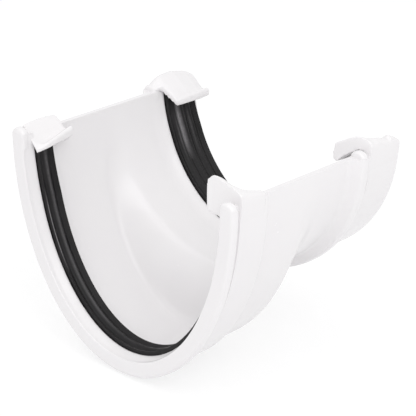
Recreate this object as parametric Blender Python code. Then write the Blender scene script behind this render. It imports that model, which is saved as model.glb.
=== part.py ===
# Gutter adaptor: joins a deep semi-elliptical gutter to a shallow half-round gutter.
# Metres. X is the width, Y runs from the deep end to the half-round end, Z is up.
# The origin is the middle of the deep rim's flat face at the bottom of its curve.
import bpy
import bmesh
from math import cos, sin, pi

for old in list(bpy.data.objects):
    bpy.data.objects.remove(old, do_unlink=True)

MM = 0.001
HALF_WIDTH = 56.0 * MM          # inside half width of both channels
DEEP_DEPTH = 82.0 * MM          # inside depth at the deep end
SHALLOW_DEPTH = 56.5 * MM       # inside depth at the half-round end
WALL = 2.3 * MM
BAND = 4.4 * MM                 # outside of a socket band, from the channel
RIM_STAND = 6.9 * MM            # outside of a rim bead, from the channel
FACE_MIDDLE = 3.4 * MM          # from the deep channel down to the origin, on the rim's face
RIM_TOP = DEEP_DEPTH + FACE_MIDDLE  # height of the walls' top edge above the origin
RIM_WIDTH = 3.6 * MM            # of the deep end's bead along the run
DEEP_GROOVE_WIDTH = 9.4 * MM
DEEP_GROOVE_BACK = 2.1 * MM     # from the bead to the deep seal's groove
NEAR_BAND_REST = 7.7 * MM       # of the deep band past the groove
NEAR_PLAIN = 22.2 * MM          # plain channel between the deep band and the ramp
RAMP_DIP = 3.0 * MM             # how much sooner the ramp begins at the bottom
RAMP_RUN = 12.0 * MM            # run of the ramp at the walls
RAMP_LAG = 2.0 * MM             # how far behind the inside the outside climbs
FAR_PLAIN = 14.8 * MM           # plain channel between the ramp and the half-round flare
FAR_FLARE = 4.0 * MM            # length of the slope up to the half-round end's bead
FAR_RIM_WIDTH = 3.8 * MM
FAR_GROOVE_BACK = 1.4 * MM      # from that bead to the half-round seal's groove
FAR_GROOVE_WIDTH = 17.8 * MM
END_LIP = 2.8 * MM              # of the half-round band past the groove
GROOVE_DEPTH = 1.6 * MM
SEAL_GAP = 0.3 * MM
SEAL_LIP = 2.3 * MM             # how far a seal's ribs stand into the channel
SEAL_VALLEY = 1.3 * MM          # how far it stands in between them
DEEP_SEAL_TOP = 8.1 * MM        # how far each seal's ends stop below the top edge
FAR_SEAL_TOP = 1.3 * MM
CLIP_FOOT = 9.0 * MM            # how far a clip is rooted down the band
CLIP_THICK = 1.5 * MM
CLIP_CLEAR = 0.1 * MM           # between a seal's ribs and the hollow of a clip
NEAR_CLIP_RUN = 17.0 * MM       # from the bead's back to the clip's end
FAR_CLIP_END = 0.4 * MM         # from the half-round clips to the end of the band
DOME_ROOT = 2.0 * MM            # how far a bead's round end is sunk into the bead
STEP = 0.01 * MM                # run over which a square step is made
SEGMENTS = 48

DEEP_GROOVE = RIM_WIDTH + DEEP_GROOVE_BACK
NEAR_BAND_END = DEEP_GROOVE + DEEP_GROOVE_WIDTH + NEAR_BAND_REST
RAMP_START = NEAR_BAND_END + NEAR_PLAIN
RAMP_END = RAMP_START + RAMP_RUN
FAR_RIM = RAMP_END + FAR_PLAIN + FAR_FLARE
FAR_BACK = FAR_RIM + FAR_RIM_WIDTH
FAR_GROOVE = FAR_BACK + FAR_GROOVE_BACK
LENGTH = FAR_GROOVE + FAR_GROOVE_WIDTH + END_LIP


def floor_depth(y, angle):
    """Inside depth of the channel at a place along the run and round the U."""
    start = RAMP_START - RAMP_DIP * sin(angle)
    part = min(max((y - start) / (RAMP_END - start), 0.0), 1.0)
    return DEEP_DEPTH + (SHALLOW_DEPTH - DEEP_DEPTH) * sin(part * pi / 2)


def curve_point(y, off, angle):
    """A point on the U: angle 0 is the left top edge, pi the right one."""
    lag = RAMP_LAG * min(max(off / WALL, 0.0), 1.0)
    depth = floor_depth(y - lag, angle)
    return (-(HALF_WIDTH + off) * cos(angle), y, RIM_TOP - (depth + off) * sin(angle))


def u_ring(y, inside, outside):
    angles = [pi * i / SEGMENTS for i in range(SEGMENTS + 1)]
    ring = [curve_point(y, outside, a) for a in angles]
    ring += [curve_point(y, inside, a) for a in reversed(angles)]
    return ring


def make_material(name, colour, rough):
    mat = bpy.data.materials.new(name)
    mat.use_nodes = True
    shader = mat.node_tree.nodes["Principled BSDF"]
    shader.inputs["Base Color"].default_value = (*colour, 1)
    shader.inputs["Roughness"].default_value = rough
    return mat


def loft(name, rings, mat):
    """A closed solid through rings that all have the same number of points."""
    mesh = bpy.data.meshes.new(name)
    bm = bmesh.new()
    verts = [[bm.verts.new(p) for p in ring] for ring in rings]
    n = len(rings[0])
    count = len(rings)
    for k in range(count - 1):
        a, b = verts[k], verts[k + 1]
        for i in range(n):
            j = (i + 1) % n
            bm.faces.new((a[i], a[j], b[j], b[i]))
    bm.faces.new(list(reversed(verts[0])))
    bm.faces.new(verts[-1])
    bmesh.ops.recalc_face_normals(bm, faces=bm.faces)
    bmesh.ops.triangulate(bm, faces=bm.faces)
    bm.to_mesh(mesh)
    bm.free()
    obj = bpy.data.objects.new(name, mesh)
    bpy.context.scene.collection.objects.link(obj)
    obj.data.materials.append(mat)
    return obj


def channel(name, stations, mat):
    """The U wall through its stations, its end faces made of flat quads."""
    rings = [u_ring(*s) for s in stations]
    mesh = bpy.data.meshes.new(name)
    bm = bmesh.new()
    verts = [[bm.verts.new(p) for p in ring] for ring in rings]
    n = len(rings[0])
    for k in range(len(rings) - 1):
        a, b = verts[k], verts[k + 1]
        for i in range(n):
            j = (i + 1) % n
            bm.faces.new((a[i], a[j], b[j], b[i]))
    for row, turn in ((verts[0], True), (verts[-1], False)):
        for i in range(SEGMENTS):
            quad = [row[i], row[i + 1], row[n - 2 - i], row[n - 1 - i]]
            bm.faces.new(list(reversed(quad)) if turn else quad)
    bmesh.ops.recalc_face_normals(bm, faces=bm.faces)
    bm.to_mesh(mesh)
    bm.free()
    obj = bpy.data.objects.new(name, mesh)
    bpy.context.scene.collection.objects.link(obj)
    obj.data.materials.append(mat)
    return obj


def wall_stations():
    """(y, inside offset, outside offset) along the run."""
    edge = 0.5 * MM
    deep_end = DEEP_GROOVE + DEEP_GROOVE_WIDTH
    far_end = FAR_GROOVE + FAR_GROOVE_WIDTH
    out = [(0.0, 0.0, RIM_STAND - 2 * edge), (edge, 0.0, RIM_STAND - edge / 2), (3 * edge, 0.0, RIM_STAND),
           (RIM_WIDTH - 2 * edge, 0.0, RIM_STAND), (RIM_WIDTH - edge, 0.0, RIM_STAND - edge / 2),
           (RIM_WIDTH, 0.0, RIM_STAND - 2 * edge), (RIM_WIDTH + STEP, 0.0, BAND),
           (DEEP_GROOVE - STEP, 0.0, BAND), (DEEP_GROOVE, GROOVE_DEPTH, BAND),
           (deep_end, GROOVE_DEPTH, BAND), (deep_end + STEP, 0.0, BAND),
           (NEAR_BAND_END - edge, 0.0, BAND), (NEAR_BAND_END, 0.0, BAND - edge),
           (NEAR_BAND_END + STEP, 0.0, WALL)]
    low = RAMP_START - RAMP_DIP
    high = RAMP_END + RAMP_LAG
    out.append(((NEAR_BAND_END + low) / 2, 0.0, WALL))
    steps = 14
    for k in range(steps + 1):
        out.append((low + (high - low) * k / steps, 0.0, WALL))
    flare = FAR_RIM - FAR_FLARE
    out.append(((high + flare) / 2, 0.0, WALL))
    rise = RIM_STAND - WALL
    for part, share in ((0.0, 0.0), (0.5, 0.18), (0.8, 0.48), (1.0, 0.78), (1.25, 0.96)):
        out.append((flare + FAR_FLARE * part, 0.0, WALL + rise * share))
    out += [(FAR_BACK - 2 * edge, 0.0, RIM_STAND), (FAR_BACK - edge, 0.0, RIM_STAND - edge / 2),
            (FAR_BACK, 0.0, RIM_STAND - 2 * edge), (FAR_BACK + STEP, 0.0, BAND),
            (FAR_GROOVE - STEP, 0.0, BAND), (FAR_GROOVE, GROOVE_DEPTH, BAND),
            (far_end, GROOVE_DEPTH, BAND), (far_end + STEP, 0.0, BAND),
            (LENGTH - edge, 0.0, BAND), (LENGTH, 0.0, BAND - edge)]
    return out


def join(body, piece):
    mod = body.modifiers.new("join " + piece.name, "BOOLEAN")
    mod.operation = "UNION"
    mod.solver = "EXACT"
    mod.object = piece
    bpy.context.view_layer.update()
    graph = bpy.context.evaluated_depsgraph_get()
    fresh = bpy.data.meshes.new_from_object(body.evaluated_get(graph))
    body.modifiers.clear()
    body.data = fresh
    bpy.data.objects.remove(piece, do_unlink=True)


def rim_dome(name, side, y0, y1, mat):
    """The round top end of a rim bead."""
    radius = RIM_STAND / 2 + 0.2 * MM
    middle = HALF_WIDTH + RIM_STAND - 0.15 * MM - radius
    edge = 0.5 * MM
    rings = []
    for y, r in ((y0, radius - 2 * edge), (y0 + edge, radius - edge / 2), (y0 + 3 * edge, radius),
                 (y1 - 3 * edge, radius), (y1 - edge, radius - edge / 2), (y1, radius - 2 * edge)):
        ring = []
        for i in range(17):
            a = pi * i / 16
            ring.append((side * (middle + r * cos(a)), y, RIM_TOP - 0.35 * MM + 0.82 * r * sin(a)))
        ring.append((side * (middle - r), y, RIM_TOP - DOME_ROOT))
        ring.append((side * (middle + r), y, RIM_TOP - DOME_ROOT))
        rings.append(ring)
    return loft(name, rings, mat)


# Each clip is a row of stations along the run. A station gives its share of the clip's run, measured from
# the bead's back, and then in mm: the ridge (in from the band's face, height over the top edge), the fold
# under the sloping face, how far in the lip reaches, the lip's top and underside, and the hollow under it.
NEAR_LEFT = [
    (0.035, (0.4, 2.7), (5.2, -2.6), 8.8, -5.9, -7.6, -7.0),
    (0.26, (0.7, 3.3), (7.0, -3.8), 10.6, -3.9, -6.3, -6.6),
    (0.5, (1.1, 3.6), (7.4, -2.7), 10.9, -2.6, -5.5, -6.6),
    (0.76, (1.7, 3.6), (7.4, -1.5), 10.9, -1.1, -5.0, -6.6),
    (1.0, (2.2, 3.4), (7.4, -0.5), 10.9, 0.3, -4.3, -6.6),
]
NEAR_RIGHT = [
    (0.077, (1.9, 5.4), (6.2, 7.5), 15.6, 9.9, -5.8, -7.0),
    (0.26, (1.9, 5.0), (6.4, 6.5), 15.0, 8.2, -5.8, -7.0),
    (0.5, (2.0, 4.2), (7.0, 3.0), 12.6, 2.2, -5.8, -7.0),
    (1.0, (2.2, 2.1), (6.4, -1.8), 8.8, -4.2, -7.4, -7.0),
]
FAR_LEFT = [
    (-0.12, (1.6, 3.0), (6.4, 1.0), 8.0, -0.4, -1.6, 1.0),
    (-0.02, (2.2, 4.8), (11.0, -0.6), 14.4, -2.9, -4.8, 1.2),
    (0.16, (2.2, 6.1), (11.2, 0.0), 14.2, -2.3, -5.1, 1.8),
    (0.435, (2.3, 6.3), (11.6, 0.0), 13.9, -1.9, -5.3, 1.8),
    (0.76, (2.3, 4.8), (11.2, -1.2), 13.8, -1.6, -5.4, 1.4),
    (0.893, (2.4, 3.8), (10.2, -1.8), 13.7, -1.5, -5.3, 0.8),
    (1.0, (2.6, 2.3), (9.4, -2.7), 13.6, -1.8, -5.2, -2.4),
]
FAR_RIGHT = [
    (-0.03, (2.3, 6.1), (7.6, 6.5), 15.8, 3.2, -5.2, 1.0),
    (0.13, (2.2, 5.4), (7.8, 5.2), 15.6, 2.4, -5.5, 1.4),
    (0.27, (2.1, 5.2), (8.0, 3.2), 14.6, 1.0, -5.5, 1.4),
    (0.48, (2.2, 4.5), (7.6, 1.4), 11.6, -0.8, -5.3, 1.4),
    (0.695, (2.2, 3.5), (7.4, 0.0), 9.6, -2.2, -5.0, 1.0),
    (0.73, (2.0, 4.6), (7.2, -0.2), 9.4, -2.4, -5.0, 1.0),
    (0.893, (2.0, 3.2), (7.0, -0.8), 9.2, -2.8, -4.8, 0.4),
    (1.0, (2.2, 1.8), (6.6, -1.4), 8.8, -3.2, -4.8, -2.4),
]


def clip_outline(ridge, fold, reach, lip_top, lip_low, hollow):
    """A clip's closed section as (in from the band's face, height over the top edge), in mm: it is
    walked from the foot up the outside, over the ridge, down the sloping face, round the lip and back."""
    turn = 0.26 * (lip_top - lip_low)
    under = min(2.2, 0.25 * (lip_top - lip_low))
    wall = BAND / MM + 0.2
    thick = CLIP_THICK / MM
    shelf = wall + (SEAL_LIP + CLIP_CLEAR) / MM
    roof = max(hollow - 1.2, min(hollow, -7.2))
    return [
        (0.2, -CLIP_FOOT / MM), (-0.5, -3.0), (-0.6, ridge[1] * 0.3), (-0.1, ridge[1] * 0.78), ridge,
        ((ridge[0] + fold[0]) / 2, (ridge[1] + fold[1]) / 2 + 0.4), fold, (reach - turn, lip_top),
        (reach - 0.25 * turn, lip_top - 0.4 * turn), (reach, lip_top - 1.1 * turn),
        (reach, lip_low + 0.7 * under), (reach - under, lip_low),
        ((reach + shelf) / 2, lip_low + 0.45 * (roof - lip_low)),
        (shelf, roof), (wall, hollow), (thick, min(hollow, -1.0)), (thick, -CLIP_FOOT / MM)]


def clip(name, side, back, run, stations, mat, slant=0.0):
    """A strap that springs from the band, slopes down into the channel and ends in a finger lip."""
    face = HALF_WIDTH + BAND
    first = stations[0][0]
    rings = []
    for station in stations:
        ring = []
        for inward, height in clip_outline(*station[1:]):
            lean = slant * (station[0] - first) * max(0.0, inward * MM - BAND - CLIP_THICK)
            ring.append((side * (face - inward * MM), back + run * station[0] + lean, RIM_TOP + height * MM))
        rings.append(ring)
    return loft(name, rings, mat)


def seal(name, groove, width, top, ribs, mat):
    """A rubber strip bent round the channel, ribbed on the side that meets the gutter."""
    y0 = groove + SEAL_GAP
    y1 = groove + width - SEAL_GAP
    back = GROOVE_DEPTH - SEAL_GAP
    section = [(y0, back), (y1, back)]
    steps = ribs * 4
    for k in range(steps + 1):
        part = 1 - k / steps
        wave = 0.5 + 0.5 * cos(2 * pi * (ribs - 1) * part)
        section.append((y0 + (y1 - y0) * part, -(SEAL_VALLEY + (SEAL_LIP - SEAL_VALLEY) * wave)))
    depth = floor_depth(y0, 0.0)
    first = top / depth
    rings = []
    for i in range(SEGMENTS + 1):
        angle = first + (pi - 2 * first) * i / SEGMENTS
        rings.append([curve_point(y, off, angle) for y, off in section])
    return loft(name, rings, mat)


white = make_material("white_upvc", (0.86, 0.86, 0.87), 0.22)
black = make_material("black_rubber", (0.02, 0.02, 0.022), 0.5)

body = channel("body", wall_stations(), white)
for side in (-1, 1):
    join(body, rim_dome("dome", side, 0.0, RIM_WIDTH, white))
    join(body, rim_dome("dome", side, FAR_RIM, FAR_BACK, white))
far_run = LENGTH - FAR_CLIP_END - FAR_BACK
join(body, clip("clip", -1, RIM_WIDTH, NEAR_CLIP_RUN, NEAR_LEFT, white, 0.35))
join(body, clip("clip", 1, RIM_WIDTH, NEAR_CLIP_RUN, NEAR_RIGHT, white))
join(body, clip("clip", -1, FAR_BACK, far_run, FAR_LEFT, white))
join(body, clip("clip", 1, FAR_BACK, far_run, FAR_RIGHT, white))

deep_seal = seal("deep_seal", DEEP_GROOVE, DEEP_GROOVE_WIDTH, DEEP_SEAL_TOP, 3, black)
half_round_seal = seal("half_round_seal", FAR_GROOVE, FAR_GROOVE_WIDTH, FAR_SEAL_TOP, 5, black)

for obj in (body, deep_seal, half_round_seal):
    for face in obj.data.polygons:
        face.use_smooth = True
    obj.data.set_sharp_from_angle(angle=0.6)
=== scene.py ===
# Looks of the gutter adaptor: a glossy white moulding with two black ribbed rubber seals.
# Sizes in the dictionaries are millimetres in the part's own frame, Z up, and are made metres once. The
# angles that stop a seal and bound a band slice are radians down from the top edge.
from math import cos, pi, radians, sin, sqrt

import bmesh
import bpy
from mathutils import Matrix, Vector


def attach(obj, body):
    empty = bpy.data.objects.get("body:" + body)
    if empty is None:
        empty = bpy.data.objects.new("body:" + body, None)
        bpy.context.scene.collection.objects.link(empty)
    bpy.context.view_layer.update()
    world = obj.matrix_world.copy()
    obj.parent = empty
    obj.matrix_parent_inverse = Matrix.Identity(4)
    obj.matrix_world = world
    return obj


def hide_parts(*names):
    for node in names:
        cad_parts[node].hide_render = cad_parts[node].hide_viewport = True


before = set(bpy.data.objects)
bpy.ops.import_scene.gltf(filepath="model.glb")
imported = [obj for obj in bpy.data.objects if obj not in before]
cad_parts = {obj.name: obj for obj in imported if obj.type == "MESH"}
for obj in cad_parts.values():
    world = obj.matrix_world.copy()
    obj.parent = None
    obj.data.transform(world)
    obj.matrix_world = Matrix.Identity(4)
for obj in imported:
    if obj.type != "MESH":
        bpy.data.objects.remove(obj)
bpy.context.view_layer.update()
mm = 0.001
print("frame loaded")


# values and nodes

class Flow:
    # one value in a node tree, so that maths on it reads as maths
    def __init__(self, tree, socket):
        self.tree = tree
        self.socket = socket

    def __add__(self, other):
        return self.tree.maths("ADD", self, other)

    __radd__ = __add__

    def __sub__(self, other):
        return self.tree.maths("SUBTRACT", self, other)

    def __rsub__(self, other):
        return self.tree.maths("SUBTRACT", other, self)

    def __mul__(self, other):
        return self.tree.maths("MULTIPLY", self, other)

    __rmul__ = __mul__

    def __truediv__(self, other):
        return self.tree.maths("DIVIDE", self, other)

    def __rtruediv__(self, other):
        return self.tree.maths("DIVIDE", other, self)

    def __neg__(self):
        return self.tree.maths("MULTIPLY", self, -1.0)

    def clamped(self):
        return self.tree.maths("ADD", self, 0.0, clamp=True)


class Tree:
    # makes nodes of a shader or geometry tree and links what it is given
    def __init__(self, nodeTree):
        self.nodes = nodeTree.nodes
        self.links = nodeTree.links

    def add(self, kind, settings=None, inputs=None, out=0):
        node = self.nodes.new(kind)
        for key, value in (settings or {}).items():
            if key == "stops":
                for cell, (place, level) in zip(node.color_ramp.elements, value):
                    cell.position = place
                    cell.color = (level, level, level, 1)
            elif key == "captured":
                node.capture_items.new(*value)
            else:
                setattr(node, key, value)
        for key, value in (inputs or {}).items():
            socket = node.inputs[key]
            if isinstance(value, Flow):
                self.links.new(value.socket, socket)
            else:
                socket.default_value = value
        return Flow(self, node.outputs[out]) if len(node.outputs) else None

    def maths(self, operation, *values, clamp=False):
        settings = {"operation": operation, "use_clamp": clamp}
        return self.add("ShaderNodeMath", settings, dict(enumerate(values)))

    def other(self, flow, out):
        # another output of the node that a value comes from
        return Flow(self, flow.socket.node.outputs[out])


def emptyTree(owner):
    # the cleared node tree of a material or the world
    owner.use_nodes = True
    owner.node_tree.nodes.clear()
    return Tree(owner.node_tree)


def noise(tree, place, size, detail):
    # waves per metre, and how many finer ones lie on them
    return tree.add("ShaderNodeTexNoise", {}, {"Vector": place, "Scale": size, "Detail": detail})


def ramp(tree, value, span):
    # rises from 0 to 1 over a span of the value
    return tree.add("ShaderNodeValToRGB", {"stops": [(span[0], 0.0), (span[1], 1.0)]}, {0: value})


def blend(tree, share, first, second):
    # the Mix node's colour sockets are its seventh and eighth, and its colour comes out third
    return tree.add("ShaderNodeMix", {"data_type": "RGBA"}, {0: share, 6: first, 7: second}, out=2)


# finishes

plasticLook = {
    "white": (0.85, 0.835, 0.842, 1), "cool": (0.838, 0.822, 0.833, 1), "coolSpan": (0.3, 0.7),
    "cloud": (38, 3.0), "flow": (160, 4.0), "flowStretch": (1.0, 0.25, 1.0), "scuff": (420, 6.0),
    "grain": (1500, 2.0),
    "rough": 0.24, "scuffRough": 0.27, "cloudRough": 0.05, "scuffSpan": (0.4, 0.75),
    "bump": 0.05, "bumpHeight": 0.00005, "grainShare": 0.3, "refraction": 1.53, "shine": 0.5,
}


def makePlastic():
    look = plasticLook
    mat = bpy.data.materials.new("glossWhitePlastic")
    tree = emptyTree(mat)
    place = tree.add("ShaderNodeTexCoord", out="Object")
    cloud = noise(tree, place, *look["cloud"])
    flowPlace = tree.add("ShaderNodeMapping", {}, {"Vector": place, "Scale": look["flowStretch"]})
    flow = noise(tree, flowPlace, *look["flow"])
    scuff = noise(tree, place, *look["scuff"])
    grain = noise(tree, place, *look["grain"])
    colour = blend(tree, ramp(tree, cloud, look["coolSpan"]), look["white"], look["cool"])
    marks = ramp(tree, scuff, look["scuffSpan"])
    rough = look["rough"] + marks * (look["scuffRough"] - look["rough"]) + (cloud - 0.5) * look["cloudRough"]
    relief = grain * look["grainShare"] + flow
    bump = tree.add("ShaderNodeBump", {}, {
        "Strength": look["bump"], "Distance": look["bumpHeight"], "Height": relief})
    shader = tree.add("ShaderNodeBsdfPrincipled", {}, {
        "Base Color": colour, "Roughness": rough, "Normal": bump,
        "IOR": look["refraction"], "Specular IOR Level": look["shine"]})
    tree.add("ShaderNodeOutputMaterial", {}, {"Surface": shader})
    return mat


rubberLook = {
    "black": (0.009, 0.0085, 0.009, 1), "pale": (0.03, 0.028, 0.03, 1), "paleShare": 0.5,
    "bloom": (90, 5.0), "bloomSpan": (0.42, 0.72), "grain": (900, 4.0),
    "rough": 0.4, "bloomRough": 0.6, "grainRough": 0.1, "bump": 0.25, "bumpHeight": 0.00006, "shine": 0.2,
    # the painted sheen's colour, how far its ends fade, and how much the grain lifts it
    "paintedSheen": (0.3, 0.29, 0.3, 1), "fade": 10.0, "grainLift": 0.5,
}
# painted sheen on the seals' left sides, pale streaks along the ribs that stand in for light caught on them:
# place along the run, half width, lowest, highest, strength
sheenStreaks = [
    (87.4, 1.9, 54.0, 83.0, 0.9), (84.9, 0.5, 54.0, 76.0, 0.2), (90.9, 0.5, 54.0, 80.0, 0.15),
    (93.1, 0.6, 54.0, 80.0, 0.15), (10.2, 1.0, 4.0, 84.0, 0.22), (6.6, 0.5, 28.0, 62.0, 1.0),
]


# painted sheen: a mask of pale streaks along the rubber's ribs on the left sides, where light catches them
def sheenMask(tree, place, grain):
    parts = tree.add("ShaderNodeSeparateXYZ", {}, {0: place})
    run = tree.other(parts, "Y") / mm
    height = tree.other(parts, "Z") / mm
    left = (parts * (-1 / mm)).clamped()
    fade = rubberLook["fade"]
    total = 0.0
    for middle, half, low, high, strength in sheenStreaks:
        away = tree.maths("ABSOLUTE", run - middle)
        ends = ((height - low) / fade).clamped() * ((high - height) / fade).clamped()
        total = (1.0 - away / half).clamped() * ends * strength + total
    return (total * left * (grain + rubberLook["grainLift"])).clamped()


def makeRubber():
    look = rubberLook
    mat = bpy.data.materials.new("blackSealRubber")
    tree = emptyTree(mat)
    place = tree.add("ShaderNodeTexCoord", out="Object")
    bloom = noise(tree, place, *look["bloom"])
    grain = noise(tree, place, *look["grain"])
    dusty = ramp(tree, bloom, look["bloomSpan"])
    colour = blend(tree, dusty * look["paleShare"], look["black"], look["pale"])
    # the painted sheen streaks lighten the rubber's colour
    colour = blend(tree, sheenMask(tree, place, grain), colour, look["paintedSheen"])
    rough = look["rough"] + dusty * (look["bloomRough"] - look["rough"]) + (grain - 0.5) * look["grainRough"]
    bump = tree.add("ShaderNodeBump", {}, {
        "Strength": look["bump"], "Distance": look["bumpHeight"], "Height": grain})
    shader = tree.add("ShaderNodeBsdfPrincipled", {}, {
        "Base Color": colour, "Roughness": rough, "Normal": bump, "Specular IOR Level": look["shine"]})
    tree.add("ShaderNodeOutputMaterial", {}, {"Surface": shader})
    return mat


plastic = makePlastic()
rubber = makeRubber()
print("finishes made")


# the channel that both seals and the wall follow

channel = {
    "Half width": 56.0, "Top edge": 85.4, "Deep depth": 82.0, "Shallow depth": 56.5, "Ramp start": 45.0,
    "Ramp end": 57.0, "Ramp dip": 3.0, "Wall": 2.3, "Wall lag": 2.0,
}
# what stands in from the channel is thinner at its two ends and at the bottom, and the floor's climb
# starts softly
bendLook = {"endShare": 0.35, "growth": 1.9, "bottomLoss": 0.18, "softStart": 0.004}


def bendTree():
    # bends a flat closed section (run along X, distance out from the channel along Y) round the U
    group = bpy.data.node_groups.new("bendSection", "GeometryNodeTree")

    def socket(label, kind, way="INPUT"):
        return group.interface.new_socket(label, in_out=way, socket_type="NodeSocket" + kind)

    socket("Section", "Geometry")
    for label, value in channel.items():
        socket(label, "Float").default_value = value * mm
    socket("End margin", "Float")
    socket("Steps round", "Int")
    socket("Finish", "Material")
    socket("Geometry", "Geometry", "OUTPUT")
    tree = Tree(group)
    source = tree.add("NodeGroupInput").socket.node
    given = {entry.name: Flow(tree, entry) for entry in source.outputs if entry.name}

    # the section is swept up a straight line, and keeps its flat place and its share of the way
    loop = tree.add("GeometryNodeMeshToCurve", {}, {"Mesh": given["Section"]})
    flat = tree.add("GeometryNodeCaptureAttribute", {"captured": ("VECTOR", "flat")},
                    {0: loop, 1: tree.add("GeometryNodeInputPosition")})
    line = tree.add("GeometryNodeCurvePrimitiveLine", {}, {"Start": (0, 0, 0), "End": (0, 0, 1)})
    path = tree.add("GeometryNodeResampleCurve", {}, {"Curve": line, "Count": given["Steps round"]})
    turn = tree.add("GeometryNodeCaptureAttribute", {"captured": ("FLOAT", "turn")},
                    {0: path, 1: tree.add("GeometryNodeSplineParameter")})
    tube = tree.add("GeometryNodeCurveToMesh", {}, {"Curve": turn, "Profile Curve": flat, "Fill Caps": True})

    # then each point goes to its place on the U
    run = tree.add("ShaderNodeSeparateXYZ", {}, {0: tree.other(flat, 1)})
    out = tree.other(run, "Y")
    angle = given["End margin"] + tree.other(turn, 1) * (pi - 2 * given["End margin"])
    steep = tree.maths("SINE", angle)
    swell = (steep * bendLook["growth"] + bendLook["endShare"]).clamped()
    swell = swell * (1.0 - steep * steep * steep * steep * bendLook["bottomLoss"])
    out = tree.maths("MAXIMUM", out, 0.0) + tree.maths("MINIMUM", out, 0.0) * swell
    lag = (out / given["Wall"]).clamped() * given["Wall lag"]
    start = given["Ramp start"] - given["Ramp dip"] * steep
    climb = (run - lag - start) / (given["Ramp end"] - start)
    climb = ((climb + tree.maths("SQRT", climb * climb + bendLook["softStart"])) * 0.5).clamped()
    eased = tree.maths("SINE", climb * (pi / 2))
    depth = given["Deep depth"] - (given["Deep depth"] - given["Shallow depth"]) * eased
    across = -((given["Half width"] + out) * tree.maths("COSINE", angle))
    height = given["Top edge"] - (depth + out) * steep
    spot = tree.add("ShaderNodeCombineXYZ", {}, {"X": across, "Y": run, "Z": height})
    bent = tree.add("GeometryNodeSetPosition", {}, {"Geometry": tube, "Position": spot})
    real = tree.add("GeometryNodeRealizeInstances", {}, {0: bent})
    done = tree.add("GeometryNodeSetMaterial", {}, {"Geometry": real, "Material": given["Finish"]})
    tree.add("NodeGroupOutput", {}, {0: done})
    return group


bendSection = bendTree()


def link(obj):
    bpy.context.scene.collection.objects.link(obj)
    return obj


def freshMesh(obj):
    # the object's mesh with its modifiers worked in, and the modifiers gone
    bpy.context.view_layer.update()
    graph = bpy.context.evaluated_depsgraph_get()
    mesh = bpy.data.meshes.new_from_object(obj.evaluated_get(graph))
    obj.modifiers.clear()
    obj.data = mesh
    return obj


def turnOut(bm):
    # every face of a closed mesh points outwards
    bmesh.ops.recalc_face_normals(bm, faces=bm.faces)
    if bm.calc_volume(signed=True) < 0:
        bmesh.ops.reverse_faces(bm, faces=bm.faces)


def gather(mesh, pieces):
    # adds the pieces' meshes to a mesh, and the pieces go
    bm = bmesh.new()
    bm.from_mesh(mesh)
    for piece in pieces:
        bm.from_mesh(piece.data)
        bpy.data.objects.remove(piece, do_unlink=True)
    bm.to_mesh(mesh)
    bm.free()


def shade(obj, sharp):
    # smooth faces, with a crisp edge where two meet at more than an angle
    for face in obj.data.polygons:
        face.use_smooth = True
    obj.data.set_sharp_from_angle(angle=radians(sharp))


cornerLook = {"most": 0.49, "least": 0.05, "cuts": 5, "step": 1.1}


def softCorners(corners):
    # a closed outline from (run, out, radius) corners, each rounded, with long sides cut into short ones
    look = cornerLook
    points = []
    for i, corner in enumerate(corners):
        here = Vector(corner[:2])
        before = Vector(corners[i - 1][:2])
        after = Vector(corners[(i + 1) % len(corners)][:2])
        reach = min(corner[2], (here - before).length * look["most"], (after - here).length * look["most"])
        a = here + (before - here).normalized() * reach
        b = here + (after - here).normalized() * reach
        cuts = 1 if reach < look["least"] else look["cuts"]
        for k in range(cuts + 1):
            t = k / cuts
            points.append((1 - t) ** 2 * a + 2 * t * (1 - t) * here + t * t * b)
    full = []
    for i, point in enumerate(points):
        following = points[(i + 1) % len(points)]
        cuts = max(1, round((following - point).length / look["step"]))
        full += [point.lerp(following, k / cuts) for k in range(cuts)]
    return full


def bentPiece(name, outline, finish, steps, margin=0.0):
    mesh = bpy.data.meshes.new(name)
    count = len(outline)
    mesh.from_pydata([(p[0] * mm, p[1] * mm, 0) for p in outline],
                     [(i, (i + 1) % count) for i in range(count)], [])
    obj = link(bpy.data.objects.new(name, mesh))
    mod = obj.modifiers.new("bend", "NODES")
    mod.node_group = bendSection
    values = {"End margin": margin, "Steps round": steps, "Finish": finish}
    for item in bendSection.interface.items_tree:
        if item.in_out == "INPUT" and item.name in values:
            mod[item.identifier] = values[item.name]
    freshMesh(obj)
    bm = bmesh.new()
    bm.from_mesh(obj.data)
    bmesh.ops.remove_doubles(bm, verts=bm.verts, dist=1e-6)
    turnOut(bm)
    bm.to_mesh(obj.data)
    bm.free()
    return obj


wallLook = {"steps": 132, "stepsQuick": 72, "sharp": 38}
# corners of the wall's section: place along the run, distance out from the channel, radius
wallCorners = [
    (0.0, 0.0, 0.5), (0.0, 6.9, 1.5), (3.6, 6.9, 0.9), (3.6, 3.1, 0.2), (6.7, 3.1, 0.3),
    (7.1, 4.4, 0.25), (22.8, 4.4, 0.9), (23.1, 2.3, 0.5), (72.3, 2.3, 1.6), (75.7, 6.9, 1.3),
    (79.6, 6.9, 0.8), (79.6, 3.1, 0.2), (82.7, 3.1, 0.3), (83.1, 4.4, 0.25), (101.6, 4.4, 0.9),
    (101.6, 0.0, 0.6), (98.8, 0.0, 0.3), (98.8, 1.6, 0.2), (81.0, 1.6, 0.2), (81.0, -1.9, 0.2),
    (80.2, -1.9, 0.5), (75.5, 0.0, 3.0), (17.5, 0.0, 1.5), (15.1, -0.6, 0.2), (15.1, 1.6, 0.2),
    (5.7, 1.6, 0.2), (5.7, -1.3, 0.2), (5.0, -1.3, 0.4), (1.5, 0.0, 1.5),
]

wallSteps = wallLook["steps"]
body = bentPiece("mouldedBody", softCorners(wallCorners), plastic, wallSteps)
print("channel wall made", len(body.data.polygons))


# rim ends and clips: each is lofted, and a clip is melted into the band below it

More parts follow.
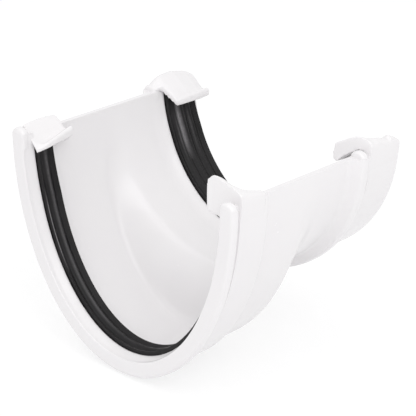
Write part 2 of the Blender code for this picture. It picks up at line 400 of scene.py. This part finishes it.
clipLook = {
    "voxel": 0.39, "voxelQuick": 0.6, "smooth": 3, "softness": 0.5, "rings": 6, "cuts": 4,
    # the band's face, out from the middle and out from the channel
    "face": 60.4, "band": 4.4,
    # the outside: heights with how proud of the band, and shares of the ridge's height with how far
    # past the face
    "cheek": [(-12.0, -0.3), (-8.0, -0.05), (-4.0, 0.22)], "shoulder": [(0.3, 0.55), (0.78, 0.1)],
    # how far the slope bows up between ridge and fold
    "crown": 0.4,
    # the lip's upper and lower edges, in shares of its height
    "turn": 0.26, "nose": [(0.25, 0.4), (0.0, 1.1)], "chin": 0.25, "chinMost": 2.2, "chinTop": 0.7,
    # the hollow: its corners in from the face, its least gaps from the lip, and how low its roof may go
    "wall": 4.6, "wallGap": 0.5, "shelf": 2.4, "shelfGap": 0.3, "roofLow": -7.2, "sag": 0.45,
    # the strap's side, what is left over the hollow, and the height at which the side's inside ends
    "thick": 1.5, "skin": 1.2, "sideTop": -1.0,
    # how far in the heel has faded out, and where the slant begins
    "tip": 15.8, "slantFrom": 5.4,
}

# Each clip is a row of stations along the run. A station gives its place, the ridge (in from the band's
# face, height over the walls' top edge), the fold below the sloping face, how far in the lip reaches,
# the lip's top and underside, and the height of the hollow under the strap. The slant, heel and rake set
# the clip's ends askew, and patch is where the band that it melts into starts.
clipShapes = {
    "nearLeft": {"side": -1, "slant": 0.35, "heel": 0.0, "rake": 0.0, "patch": 7.2, "stations": [
        (4.2, (0.4, 2.7), (5.2, -2.6), 8.8, -5.9, -7.6, -1.0),
        (8.0, (0.7, 3.3), (7.0, -4.1), 10.6, -3.8, -6.3, -1.0),
        (12.0, (1.1, 3.6), (7.3, -3.3), 10.9, -2.5, -5.5, -1.0),
        (16.5, (1.7, 3.6), (7.3, -2.2), 10.9, -1.0, -5.0, -3.0),
        (20.6, (2.2, 3.4), (7.3, -1.0), 10.9, 0.3, -4.3, -6.6)]},
    "nearRight": {"side": 1, "slant": 0.0, "heel": 2.2, "rake": 0.0, "patch": 7.2, "stations": [
        (4.9, (1.9, 5.4), (6.2, 7.5), 15.6, 9.9, -5.8, -7.0),
        (8.0, (1.9, 5.0), (6.4, 6.5), 15.0, 8.2, -5.8, -7.0),
        (12.0, (2.0, 4.2), (7.0, 3.0), 12.6, 2.2, -5.8, -7.0),
        (20.6, (2.2, 2.1), (6.4, -1.8), 8.8, -4.2, -7.4, -7.0)]},
    "farLeft": {"side": -1, "slant": 0.0, "heel": 0.0, "rake": 0.0, "patch": 83.2, "stations": [
        (76.4, (1.4, 2.4), (3.4, 1.9), 4.6, 1.6, 0.6, 1.0),
        (79.4, (2.2, 4.9), (4.3, 3.5), 5.6, 2.8, 0.2, 0.4),
        (81.2, (2.2, 5.7), (10.4, -0.2), 13.5, -2.7, -5.1, 1.9),
        (84.0, (2.2, 6.2), (10.9, 0.1), 13.8, -2.2, -5.2, 2.0),
        (89.0, (2.3, 6.3), (11.6, 0.0), 13.9, -1.9, -5.3, 1.8),
        (96.0, (2.3, 4.8), (11.2, -1.2), 13.8, -1.6, -5.4, 1.4),
        (98.9, (2.4, 3.8), (10.2, -1.8), 13.7, -1.5, -5.3, 0.8),
        (101.2, (2.6, 2.3), (9.4, -2.7), 13.6, -1.8, -5.2, -2.4)]},
    "farRight": {"side": 1, "slant": 0.0, "heel": 3.4, "rake": 0.2, "patch": 83.2, "stations": [
        (79.0, (2.3, 5.6), (7.6, 6.1), 15.8, 3.0, -5.2, 1.0),
        (82.4, (2.2, 5.2), (7.8, 5.0), 15.6, 2.3, -5.5, 1.4),
        (85.5, (2.1, 5.2), (8.0, 3.2), 14.6, 1.0, -5.5, 1.4),
        (90.0, (2.2, 4.5), (7.6, 1.4), 11.6, -0.8, -5.3, 1.4),
        (94.6, (2.2, 3.5), (7.4, 0.0), 9.6, -2.2, -5.0, 1.0),
        (95.4, (2.0, 4.6), (7.2, -0.2), 9.4, -2.4, -5.0, 1.0),
        (98.9, (2.0, 3.2), (7.0, -0.8), 9.2, -2.8, -4.8, 0.4),
        (101.2, (2.2, 1.8), (6.6, -1.4), 8.8, -3.2, -4.8, -2.4)]},
}


def socketDepth(y):
    return channel["Deep depth"] if y < channel["Ramp start"] else channel["Shallow depth"]


def bandSide(depth, height):
    # how far out the band's face stands at a height over the top edge
    drop = min(0.0, height) / (depth + clipLook["band"])
    return clipLook["face"] * sqrt(1 - drop * drop)


def heightAt(line, x):
    # the height of a falling line of points at a distance from the middle
    for a, b in zip(line, line[1:]):
        if b[0] <= x <= a[0]:
            return b[1] + (a[1] - b[1]) * (x - b[0]) / max(a[0] - b[0], 0.01)
    return line[-1][1]


def clipOutline(depth, ridge, fold, reach, lipTop, lipLow, hollow):
    look = clipLook
    face = look["face"]
    inner = face - reach
    turn = look["turn"] * (lipTop - lipLow)
    chin = min(look["chinMost"], look["chin"] * (lipTop - lipLow))
    middle = ((ridge[0] + fold[0]) / 2, (ridge[1] + fold[1]) / 2 + look["crown"])
    slope = [(face - inward, height) for inward, height in (ridge, middle, fold)] + [(inner + turn, lipTop)]

    # the hollow stays a skin below the slope
    wall = max(face - look["wall"], inner + look["wallGap"])
    shelf = max(wall - look["shelf"], inner + look["shelfGap"])
    roof = max(hollow - (wall - shelf) / 2, min(hollow, look["roofLow"]))
    hollow = min(hollow, heightAt(slope, wall) - look["skin"])
    roof = min(roof, heightAt(slope, shelf) - look["skin"])

    outside = [(bandSide(depth, height) + proud, height) for height, proud in look["cheek"]]
    outside += [(face + past, ridge[1] * share) for share, past in look["shoulder"]]
    lip = [(inner + inward * turn, lipTop - down * turn) for inward, down in look["nose"]]
    lip += [(inner, lipLow + look["chinTop"] * chin), (inner + chin, lipLow)]
    foot = look["cheek"][0][0]
    inside = [((inner + shelf) / 2, lipLow + look["sag"] * (roof - lipLow)), (shelf, roof), (wall, hollow),
              (face - look["thick"], min(hollow, look["sideTop"])),
              (bandSide(depth, foot) - look["thick"], foot)]
    return outside + slope + lip + inside


def smoothLoop(points):
    # a rounded closed outline through the points
    full = []
    count = len(points)
    for i in range(count):
        a, b, c, d = (Vector(points[(i + k - 1) % count]) for k in range(4))
        for k in range(clipLook["cuts"]):
            t = k / clipLook["cuts"]
            full.append(0.5 * (2 * b + (c - a) * t + (2 * a - 5 * b + 4 * c - d) * t * t
                               + (3 * b - a - 3 * c + d) * t ** 3))
    return full


def loft(name, rings):
    mesh = bpy.data.meshes.new(name)
    bm = bmesh.new()
    rows = [[bm.verts.new(Vector(p) * mm) for p in ring] for ring in rings]
    count = len(rows[0])
    for a, b in zip(rows, rows[1:]):
        for i in range(count):
            j = (i + 1) % count
            bm.faces.new((a[i], a[j], b[j], b[i]))
    bm.faces.new(list(reversed(rows[0])))
    bm.faces.new(rows[-1])
    turnOut(bm)
    bm.to_mesh(mesh)
    bm.free()
    return link(bpy.data.objects.new(name, mesh))


def clipBody(shape):
    # a loft through the stations, with a few rings from each to the next
    look = clipLook
    stations = shape["stations"]
    first, last = stations[0][0], stations[-1][0]
    depth = socketDepth(first)
    rings = []
    for here, there in zip(stations, stations[1:]):
        a = smoothLoop(clipOutline(depth, *here[1:]))
        b = smoothLoop(clipOutline(depth, *there[1:]))
        closing = 1 if there is stations[-1] else 0
        for k in range(look["rings"] + closing):
            part = k / look["rings"]
            y = here[0] + (there[0] - here[0]) * part
            along = (y - first) / (last - first)
            ring = []
            for p, q in zip(a, b):
                spot = p.lerp(q, part)
                lean = shape["slant"] * along * max(0.0, look["face"] - look["slantFrom"] - spot.x)
                outward = min(1.0, max(0.0, 1 - (look["face"] - spot.x) / look["tip"]))
                lean += (shape["heel"] * outward + shape["rake"] * spot.y) * (1 - along) ** 2
                ring.append((shape["side"] * spot.x, y + lean, channel["Top edge"] + spot.y))
            rings.append(ring)
    return loft("clip", rings)


bandSlice = {"low": 0.5, "sink": 0.12, "past": 0.4, "rows": 8, "cuts": 6, "from": 0.012, "to": 0.212,
             "fall": 1.2, "rise": 0.8}


def bandPatch(side, y0, y1):
    # a thin slice of the band, a hair below its surface, for the clip to melt into
    look = bandSlice
    top = channel["Top edge"]
    half = channel["Half width"]
    depth = socketDepth(y0)
    high = clipLook["band"] - look["sink"]
    span = look["to"] - look["from"]
    angles = [look["from"] + span * i / look["cuts"] for i in range(look["cuts"] + 1)]
    arc = [(a, look["low"] + look["rise"] * (a / look["to"]) ** 2) for a in angles]
    arc += [(a, high - look["fall"] * (a / look["to"]) ** 2) for a in reversed(angles)]
    rings = []
    for k in range(look["rows"] + 1):
        y = y0 + (y1 - y0) * k / look["rows"]
        rings.append([(side * (half + far) * cos(a), y, top - (depth + far) * sin(a)) for a, far in arc])
    return loft("patch", rings)


rimEnd = {
    "middle": 59.1, "radius": 3.65, "sink": 0.35, "rise": 0.82, "drop": 6.0, "cuts": 24,
    # how far in from each face, and how much is off the radius there
    "rounding": [(0.0, 0.9), (0.25, 0.45), (0.7, 0.12), (1.3, 0.0)],
    # where the two beads start and end along the run
    "spans": [(0.05, 3.55), (75.9, 79.55)],
}


def rimDome(side, y0, y1):
    # a bead's end, domed over the top edge
    base = channel["Top edge"] - rimEnd["sink"]
    foot = channel["Top edge"] - rimEnd["drop"]
    middle = rimEnd["middle"]
    angles = [pi * i / rimEnd["cuts"] for i in range(rimEnd["cuts"] + 1)]
    faces = [(y0 + inset, cut) for inset, cut in rimEnd["rounding"]]
    faces += [(y1 - inset, cut) for inset, cut in reversed(rimEnd["rounding"])]
    rings = []
    for y, cut in faces:
        radius = rimEnd["radius"] - cut
        high = rimEnd["rise"] * radius
        ring = [(side * (middle + radius * cos(angle)), y, base + high * sin(angle)) for angle in angles]
        ring += [(side * (middle + edge), y, foot) for edge in (-radius, radius)]
        rings.append(ring)
    return loft("dome", rings)


def melt(pieces, name):
    # joins the pieces and rounds every edge and inner corner
    mesh = bpy.data.meshes.new(name)
    gather(mesh, pieces)
    obj = link(bpy.data.objects.new(name, mesh))
    remesh = obj.modifiers.new("melt", "REMESH")
    remesh.mode = "VOXEL"
    remesh.voxel_size = clipLook["voxel"] * mm
    soft = obj.modifiers.new("soften", "SMOOTH")
    soft.factor = clipLook["softness"]
    soft.iterations = clipLook["smooth"]
    return freshMesh(obj)


clips = []
for name, shape in clipShapes.items():
    strap = clipBody(shape)
    patch = bandPatch(shape["side"], shape["patch"], shape["stations"][-1][0] + bandSlice["past"])
    clips.append(melt([strap, patch], name))
domes = [rimDome(side, y0, y1) for side in (-1, 1) for y0, y1 in rimEnd["spans"]]

gather(body.data, clips + domes)
body.data.materials.clear()
body.data.materials.append(plastic)
shade(body, wallLook["sharp"])
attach(body, "root")
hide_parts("body")
print("clips made", len(body.data.polygons))


# rubber seals

nearSeal = {"stop": 0.064, "start": 6.0, "end": 14.8, "back": 1.3, "ribs": 3}
farSeal = {"stop": 0.002, "start": 81.3, "end": 98.5, "back": 1.3, "ribs": 5}
ribLook = {
    "crest": 3.3, "valley": 2.1, "power": 0.75, "cuts": 96, "steps": 150, "stepsQuick": 72, "sharp": 50,
}


def sealOutline(seal):
    length = seal["end"] - seal["start"]
    points = [Vector((seal["start"], seal["back"])), Vector((seal["end"], seal["back"]))]
    for k in range(ribLook["cuts"], -1, -1):
        share = k / ribLook["cuts"]
        wave = (0.5 + 0.5 * cos(2 * pi * (seal["ribs"] - 1) * share)) ** ribLook["power"]
        height = ribLook["valley"] + (ribLook["crest"] - ribLook["valley"]) * wave
        points.append(Vector((seal["start"] + length * share, -height)))
    return points


def makeSeal(name, node, seal):
    steps = ribLook["steps"]
    piece = bentPiece(name, sealOutline(seal), rubber, steps, seal["stop"])
    shade(piece, ribLook["sharp"])
    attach(piece, "root")
    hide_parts(node)


makeSeal("deepSeal", "deep_seal", nearSeal)
makeSeal("halfRoundSeal", "half_round_seal", farSeal)
print("seals made")


# camera, lights and floor

view = {
    "eye": (0.5078, -0.4736, 0.3559), "target": (0.00195, 0.04992, 0.05529), "lens": 164.4, "sensor": 36,
    "near": 0.01, "far": 20,
}


def aim(obj, place, target):
    obj.location = place
    obj.rotation_euler = (Vector(target) - Vector(place)).to_track_quat("-Z", "Y").to_euler()


def makeCamera():
    data = bpy.data.cameras.new("camera")
    data.lens = view["lens"]
    data.sensor_width = view["sensor"]
    data.clip_start = view["near"]
    data.clip_end = view["far"]
    obj = link(bpy.data.objects.new("camera", data))
    aim(obj, view["eye"], view["target"])
    bpy.context.scene.camera = obj


lamps = [
    {"name": "softTop", "at": (0.0, -0.2, 1.1), "size": 1.2, "power": 1.7},
    {"name": "rightHigh", "at": (0.8, -0.3, 0.8), "size": 0.9, "power": 3.6},
    {"name": "frontLeft", "at": (-0.5, -0.9, 0.6), "size": 0.8, "power": 1.0},
]
lampTarget = (0, 0.05, 0.05)
room = {  # in metres
    "level": 0.77, "floor": (0.93, 0.93, 0.935, 1), "glow": 1.07, "glowShare": 0.7, "drop": 0.0045,
    "radius": 3.0, "sides": 96,
}


def makeLamps():
    for lamp in lamps:
        data = bpy.data.lights.new(lamp["name"], "AREA")
        data.shape = "DISK"
        data.size = lamp["size"]
        data.energy = lamp["power"]
        aim(link(bpy.data.objects.new(lamp["name"], data)), lamp["at"], lampTarget)


def seenRays(tree):
    # 1 for what the camera sees, straight, in gloss or through a clear piece, and 0 for light on the object
    rays = tree.add("ShaderNodeLightPath", out="Is Camera Ray")
    return (rays + tree.other(rays, "Is Glossy Ray") + tree.other(rays, "Is Transmission Ray")).clamped()


def makeWorld():
    world = bpy.data.worlds.new("studio")
    bpy.context.scene.world = world
    tree = emptyTree(world)
    level = room["level"] + (1.0 - room["level"]) * seenRays(tree)
    sky = tree.add("ShaderNodeBackground", {}, {"Color": (1, 1, 1, 1), "Strength": level})
    tree.add("ShaderNodeOutputWorld", {}, {"Surface": sky})


def makeFloor():
    # keeps the object's shadow, with a glow that only the camera sees
    mesh = bpy.data.meshes.new("floor")
    bm = bmesh.new()
    bmesh.ops.create_circle(bm, cap_ends=True, segments=room["sides"], radius=room["radius"])
    bmesh.ops.translate(bm, verts=bm.verts, vec=(0, 0, -room["drop"]))
    bm.to_mesh(mesh)
    bm.free()
    floor = link(bpy.data.objects.new("floor", mesh))
    mat = bpy.data.materials.new("paleFloor")
    tree = emptyTree(mat)
    diffuse = tree.add("ShaderNodeBsdfDiffuse", {}, {"Color": room["floor"]})
    glow = tree.add("ShaderNodeEmission", {}, {"Color": (1, 1, 1, 1), "Strength": room["glow"]})
    share = seenRays(tree) * room["glowShare"]
    surface = tree.add("ShaderNodeMixShader", {}, {0: share, 1: diffuse, 2: glow})
    tree.add("ShaderNodeOutputMaterial", {}, {"Surface": surface})
    mesh.materials.append(mat)


makeCamera()
makeLamps()
makeWorld()
makeFloor()
bpy.context.scene.view_settings.view_transform = "Standard"
print("camera, lights and floor made")
